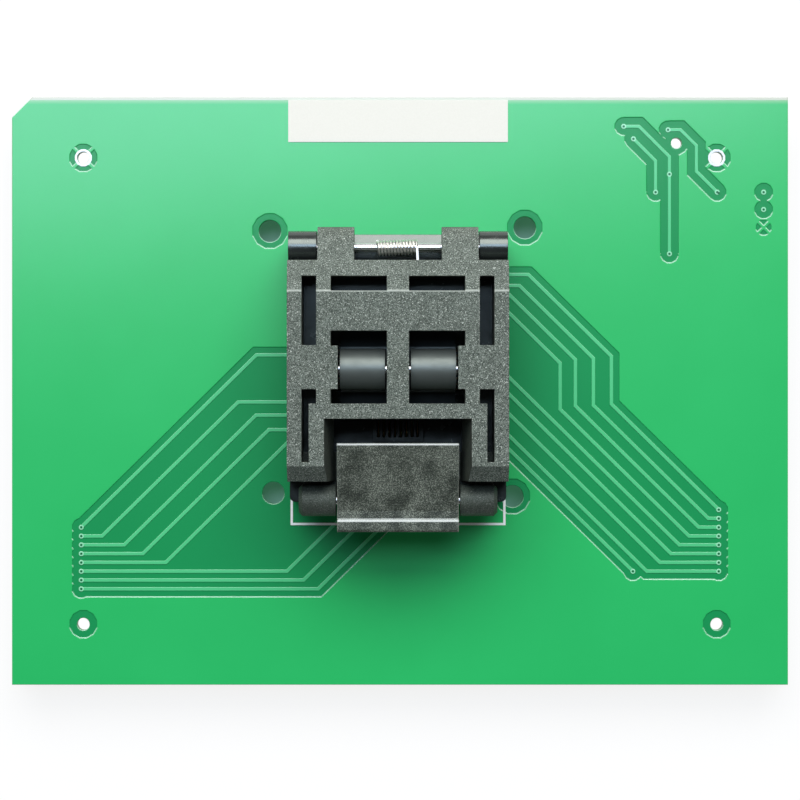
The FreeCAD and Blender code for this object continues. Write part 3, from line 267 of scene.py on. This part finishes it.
def board_finish():
    """Green solder mask, lighter over the copper pour and darker where the pour is cleared.

    A painted highlight lies as a pale rim along the pour's own edges where they face the rear light,
    and a painted highlight line with a faint painted sheen beside it lies along the board's rear edge.
    """
    g = material_graph("solder_mask_over_pour")
    place = g.position()
    height = g.axis(place, Z)
    up = g.axis(g.geometry("Normal"), Z)
    cloud = g.noise(70.0, 3.0)
    fine = g.noise(2500.0)
    level = g.ramp(height, BOARD_TOP - 0.8 * COPPER, BOARD_TOP - 0.2 * COPPER, smooth=False)
    mask = g.mix(level, g.mix(cloud, *CLEARED), g.mix(cloud, *POUR))
    flat = g.ramp(g.math("ABSOLUTE", up), 0.3, 0.7)
    near_top = g.ramp(height, BOARD_TOP - 3 * COPPER, BOARD_TOP - 2 * COPPER)
    colour = g.mix(g.math("MAXIMUM", flat, near_top), g.mix(fine, *CUT_EDGE), mask)
    rounded = g.bevel(0.16 * MM)
    facing_up = g.ramp(up, 0.7, 0.9)
    # Painted highlight on the pour's edges that face the rear light
    rim = g.math("MULTIPLY", g.rear_highlight_mask(rounded), facing_up)
    colour = g.mix(g.math("MULTIPLY", rim, 0.75), colour, POUR_EDGE_HIGHLIGHT)
    # Painted highlight line and faint painted sheen along the board's rear edge
    from_rear = g.math("SUBTRACT", start_bounds[1][Y], g.axis(place, Y))
    line = g.ramp(from_rear, REAR_HIGHLIGHT_WIDTH, REAR_HIGHLIGHT_END, 0.85, 0.0)
    glow = g.ramp(from_rear, REAR_HIGHLIGHT_WIDTH, REAR_SHEEN_END, 0.30, 0.0)
    pale = g.math("MULTIPLY", g.math("MAXIMUM", line, glow), facing_up)
    colour = g.mix(pale, colour, REAR_EDGE_HIGHLIGHT)
    rough = g.ramp(fine, 0.3, 0.7, 0.42, 0.50)
    weave = g.noise(900.0, stretch=(1.0, 0.25, 1.0))
    normal = g.bump(weave, 0.05, 0.02 * MM, rounded)
    gloss = g.math("MULTIPLY_ADD", level, 0.6, 0.4)
    g.set(base_color=colour, roughness=rough, normal=normal, specular_ior_level=MASK_SPECULAR)
    return g.set(coat_weight=gloss, coat_roughness=MASK_COAT_ROUGHNESS, coat_normal=normal)


def via_distance(g):
    """How far a point is from the nearest via's centre, seen from above."""
    place = g.position()
    across = g.math("SUBTRACT", g.math("ABSOLUTE", g.axis(place, X)), VIA_COLUMN)
    ways = g.math("FRACT", g.math("DIVIDE", g.axis(place, Y), VIA_PITCH))
    along = g.math("MULTIPLY", g.math("SUBTRACT", ways, 0.5), VIA_PITCH)
    squares = g.math("ADD", g.math("MULTIPLY", across, across), g.math("MULTIPLY", along, along))
    nearest = g.math("SQRT", squares)
    for x, y in LOOSE_VIAS:
        gap = g.vector_math("DISTANCE", place, (x * MM, y * MM, BOARD_TOP))
        nearest = g.math("MINIMUM", nearest, gap)
    return nearest


def track_finish():
    """Solder mask over copper, with a pale ring and a dark middle painted on each via, and a painted
    highlight along edges that face the rear light.
    """
    g = material_graph("solder_mask_over_track")
    colour = g.mix(g.noise(120.0), *TRACK)
    gap = via_distance(g)
    ring = g.math("MULTIPLY", g.ramp(gap, *PAD_INNER_EDGE), g.ramp(gap, *PAD_OUTER_EDGE, 1.0, 0.0))
    colour = g.mix(g.math("MULTIPLY", ring, 0.55), colour, PAD_RIM)
    colour = g.mix(g.ramp(gap, *VIA_HOLE_EDGE), VIA_HOLE, colour)
    rounded = g.bevel(0.10 * MM)
    # Painted highlight on the tracks' edges that face the rear light
    colour = g.mix(g.math("MULTIPLY", g.rear_highlight_mask(rounded), 0.35), colour, TRACK_EDGE_HIGHLIGHT)
    normal = g.bump(g.noise(1800.0), 0.06, 0.02 * MM, rounded)
    g.set(base_color=colour, roughness=0.42, normal=normal, specular_ior_level=MASK_SPECULAR)
    return g.set(coat_weight=1.0, coat_roughness=MASK_COAT_ROUGHNESS, coat_normal=normal)


def lid_finish():
    """Glass-filled plastic: a fine pale speckle over a faint mottle, with a rough grain.

    Painted shade darkens it low down above the latch ears, under the lid's front, and on the leaning sides
    of the latch notch. A painted highlight runs across the top along the bend behind the windows.
    """
    g = material_graph("socket_black")
    dark, light = LID
    grain = g.noise(7200.0, 2.0, 0.6)
    broad = g.noise(600.0, 4.0, 0.6)
    colour = g.mix(g.ramp(grain, 0.38, 0.62), dark, light)
    colour = g.mix(g.ramp(broad, 0.36, 0.66, 0.0, 0.30), colour, dark)
    specks = g.ramp(g.noise(6800.0, 1.0), 0.60, 0.74)
    colour = g.mix(g.math("MULTIPLY", specks, 0.8), colour, LID_GLINT)
    place = g.position()
    height = g.axis(place, Z)
    # Painted shade low down above the latch ears and on the notch's leaning sides
    painted_shade_low = g.ramp(height, EAR_TOP + 0.2 * MM, EAR_TOP + 1.6 * MM, 0.75, 0.0)
    facing = g.add("ShaderNodeTexCoord").outputs["Normal"]
    sideways = g.ramp(g.math("ABSOLUTE", g.axis(facing, X)), 0.3, 0.6, 0.0, 0.8)
    leaning = g.math("MULTIPLY", sideways, g.ramp(g.axis(facing, Z), 0.03, 0.12))
    colour = g.mix(g.math("MAXIMUM", painted_shade_low, leaning), colour, dark)
    # Painted highlight along the lid's top bend behind the windows
    near_crease = g.ramp(g.off(g.axis(place, Y), CREASE_Y), 0.06 * MM, 0.22 * MM, 0.5, 0.0)
    bend_highlight = g.math("MULTIPLY", near_crease, g.math("GREATER_THAN", height, CREASE_Z))
    colour = g.mix(bend_highlight, colour, LID_GLINT)
    shine = g.ramp(broad, 0.3, 0.7, 0.51, 0.60)
    normal = g.bump(grain, 0.35, 0.04 * MM, g.bevel(0.15 * MM))
    g.set(base_color=colour, roughness=shine, normal=normal)
    return g.set(specular_ior_level=0.3, specular_tint=GREENISH)


def latch_finish():
    """Darker mottled plastic, rubbed smooth along its edges, where its pale colour is partly wear and partly
    a painted highlight, with a strong painted highlight on its rear edge.
    """
    g = material_graph("latch_black")
    grain = g.noise(6500.0, 2.0, 0.6)
    patches = g.ramp(g.noise(300.0, 5.0, 0.68), 0.36, 0.64)
    speckle = g.math("MULTIPLY_ADD", patches, 0.55, 0.25)
    specks = g.math("MULTIPLY", g.ramp(grain, 0.46, 0.66), speckle)
    colour = g.mix(specks, g.mix(patches, *LATCH), LATCH_SPECK_WEAR_AND_HIGHLIGHT)
    rounded = g.bevel(0.32 * MM)
    roll = g.vector_math("DOT_PRODUCT", rounded, g.geometry("True Normal"))
    # Edge mask: wear for roughness and gloss, and wear with a painted highlight for the colour
    wear_and_highlight = g.ramp(roll, 0.90, 0.995, 1.0, 0.0)
    colour = g.mix(g.math("MULTIPLY", wear_and_highlight, 0.4), colour, LATCH_SPECK_WEAR_AND_HIGHLIGHT)
    # Painted highlight along the latch's rear edge
    rear = g.math("MULTIPLY", g.rear_edge_highlight_mask(rounded), 0.9)
    colour = g.mix(rear, colour, LATCH_REAR_HIGHLIGHT)
    shine = g.math("MULTIPLY_ADD", wear_and_highlight, -0.22, 0.46)
    gloss = g.math("MULTIPLY_ADD", wear_and_highlight, 0.7, 0.3)
    normal = g.bump(grain, 0.3, 0.04 * MM, rounded)
    g.set(base_color=colour, roughness=shine, normal=normal)
    return g.set(specular_ior_level=gloss, specular_tint=GREENISH)


def moulded_plastic(name, rough):
    """Plain moulded plastic with small dents, and its mottle, which the colour follows."""
    g = material_graph(name)
    mottle = g.noise(700.0, 4.0, 0.6)
    shine = g.ramp(mottle, 0.3, 0.7, rough - 0.04, rough + 0.06)
    normal = g.bump(g.noise(3200.0), 0.12, 0.02 * MM, g.bevel(0.12 * MM))
    g.set(roughness=shine, normal=normal, specular_tint=GREENISH)
    return g, mottle


def connector_finish():
    g, mottle = moulded_plastic("connector_black", 0.45)
    return g.set(base_color=g.mix(mottle, *CONNECTOR), specular_ior_level=0.5)


def base_finish():
    """The base is glossier at its hinge end than round the well."""
    g, mottle = moulded_plastic("socket_black_smooth", 0.22)
    gloss = g.ramp(g.axis(g.position(), Y), HINGE_END, HINGE_END + MM, 0.4, 1.0)
    return g.set(base_color=g.mix(mottle, *BASE), specular_ior_level=gloss)


def pusher_finish():
    """The pusher's round lugs are rubbed glossy and given a lighter colour as painted light, and the rest is
    dull and darker as painted shade.
    """
    g, _ = moulded_plastic("pusher_black", 0.43)
    rest = g.ramp(g.off(g.axis(g.position(), Y), LUG_Y), LUG_RADIUS, LUG_RADIUS + 0.3 * MM)
    gloss = g.math("MULTIPLY_ADD", rest, -0.95, 1.0)
    # Painted light on the lugs and painted shade on the body
    return g.set(base_color=g.mix(rest, PUSHER_LUG_LIT, PUSHER_BODY_SHADED), specular_ior_level=gloss)


def metal(name, colour, rough, streak=(1.0, 1.0, 1.0)):
    g = material_graph(name)
    lines = g.noise(3000.0, stretch=streak)
    tone = g.mix(lines, tuple(c * 0.82 for c in colour), colour)
    shine = g.ramp(lines, 0.3, 0.7, rough - 0.05, rough + 0.08)
    normal = g.bump(lines, 0.08, 0.01 * MM, g.bevel(0.04 * MM))
    return g.set(base_color=tone, roughness=shine, metallic=1.0, normal=normal)


def paper():
    g = material_graph("blank_paper_label")
    fibre = g.noise(4000.0, 4.0, 0.7)
    normal = g.bump(fibre, 0.1, 0.01 * MM)
    return g.set(base_color=g.mix(fibre, *PAPER), roughness=0.7, normal=normal)


def ink():
    g = material_graph("white_print")
    fibre = g.noise(3000.0, 3.0)
    normal = g.bump(fibre, 0.2, 0.01 * MM)
    return g.set(base_color=g.mix(fibre, *INK), roughness=0.5, normal=normal)


def paint_nodes():
    """Gives each CAD node the finish of its material slot. The pusher is duller than the base."""
    finishes = {
        "board_mask": board_finish(),
        "track_mask": track_finish(),
        "tinned_pad": metal("tinned_copper", (0.60, 0.61, 0.60), 0.38),
        "label": paper(),
        "white_ink": ink(),
        "connector_plastic": connector_finish(),
        "socket_plastic": lid_finish(),
        "latch_plastic": latch_finish(),
        "smooth_plastic": base_finish(),
        "contact_metal": metal("gold_plate", (0.60, 0.46, 0.22), 0.35),
        "lead_metal": metal("tinned_lead", (0.74, 0.75, 0.76), 0.3),
        "solder": metal("bright_solder", (0.76, 0.77, 0.79), 0.22),
        "pin_steel": metal("ground_steel", (0.72, 0.73, 0.74), 0.22, (0.05, 1.0, 1.0)),
        "spring_steel": metal("spring_wire", (0.82, 0.81, 0.76), 0.46),
    }
    pusher = pusher_finish()
    slots = {part["node"]: part["material_slot"] for part in frame["record"]["subparts"]}
    for name, thing in NODES.items():
        finish = pusher if name == "pusher" else finishes[slots[name]]
        if not thing.material_slots:
            thing.data.materials.append(finish)
        for holder in thing.material_slots:
            holder.link = "OBJECT"
            holder.material = finish


def press_latch_spring():
    """Gives the latch spring its own copy of its mesh."""
    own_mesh(NODES["latch_spring"])


def floor_finish():
    """Pale floor, near white past the board, with only a faint shadow there.

    Under the board the full shadow stays, and the floor's colour is darkened and greened there as painted
    shade, with a painted green glow for the light that comes through the board. Small painted pools of light
    lie under the board's small holes.
    """
    g = material_graph("pale_floor")
    place = g.position()
    corner = start_bounds[1]
    wide, deep = (g.math("ABSOLUTE", g.axis(place, which)) for which in (X, Y))
    inset = g.math("MINIMUM", g.math("SUBTRACT", corner[X], wide), g.math("SUBTRACT", corner[Y], deep))
    outside = g.ramp(inset, *FLOOR_FADE, 1.0, 0.0)
    folded = g.add("ShaderNodeCombineXYZ")
    g.put(folded, X, wide)
    g.put(folded, Y, deep)
    share = g.math("MULTIPLY", outside, FLOOR_WHITE)
    # Painted pools of light under the board's small holes
    for point, pool in ((folded.outputs[0], CORNER_POOL), (place, PILOT_POOL)):
        gap = g.vector_math("DISTANCE", point, pool)
        share = g.math("MAXIMUM", share, g.ramp(gap, POOL_RADIUS, 2.0 * POOL_RADIUS, 1.0, 0.0))
    # Painted shade: the floor is darker and greener under the board
    g.set(base_color=g.mix(outside, *FLOOR), roughness=0.6)
    under = g.math("SUBTRACT", 1.0, outside)
    # Painted green glow under the board, for light that comes through it
    g.set(emission_color=LIGHT_THROUGH_BOARD, emission_strength=under)
    path = g.add("ShaderNodeLightPath")
    seen = path.outputs["Is Camera Ray"]
    for kind in ("Is Glossy Ray", "Is Transmission Ray"):
        seen = g.math("MAXIMUM", seen, path.outputs[kind])
    white = g.add("ShaderNodeEmission")
    g.put(white, "Color", WHITE)
    g.put(white, "Strength", WHITE_LIGHT)
    blend = g.add("ShaderNodeMixShader")
    for socket, value in enumerate((g.math("MULTIPLY", seen, share), g.shader.outputs[0], white.outputs[0])):
        g.put(blend, socket, value)
    g.put(g.tree.nodes["Material Output"], "Surface", blend.outputs[0])
    return g.owner


def add_floor():
    bpy.ops.mesh.primitive_plane_add(size=FLOOR_SIZE, location=(0.0, 0.0, 0.0))
    floor = bpy.context.object
    floor.name = "floor"
    floor.data.materials.append(floor_finish())


def add_light(name, place, aim, size, power, colour):
    data = bpy.data.lights.new(name, "AREA")
    data.shape = "RECTANGLE"
    data.size, data.size_y = size
    data.energy = power
    data.color = colour
    lamp = bpy.data.objects.new(name, data)
    lamp.location = place
    lamp.rotation_euler = (Vector(aim) - Vector(place)).to_track_quat("-Z", "Y").to_euler()
    bpy.context.collection.objects.link(lamp)


def add_camera():
    """The camera looks straight down, as it does when it isn't turned."""
    data = bpy.data.cameras.new("camera")
    data.sensor_width = SENSOR_WIDTH
    data.lens = LENS
    data.clip_start = CLIP_START
    camera = bpy.data.objects.new("camera", data)
    camera.location = CAMERA_PLACE
    bpy.context.collection.objects.link(camera)
    bpy.context.scene.camera = camera


def add_world():
    """A dim studio room: pale at the rear and the sides, dark at the front and straight above."""
    world = bpy.data.worlds.new("studio")
    g = Graph(world, "Background")
    where = g.add("ShaderNodeTexCoord").outputs["Generated"]
    low_light = g.ramp(g.axis(where, Z), 0.78, 0.97, 0.34, 0.03)
    rear_light = g.ramp(g.axis(where, Y), -0.9, 0.3, 0.25, 1.0)
    g.set(color=WHITE, strength=g.math("MULTIPLY", low_light, rear_light))
    bpy.context.scene.world = world


paint_nodes()
press_latch_spring()
add_floor()
for lamp in LAMPS:
    add_light(*lamp)
add_camera()
add_world()
bpy.context.scene.view_settings.view_transform = "Standard"
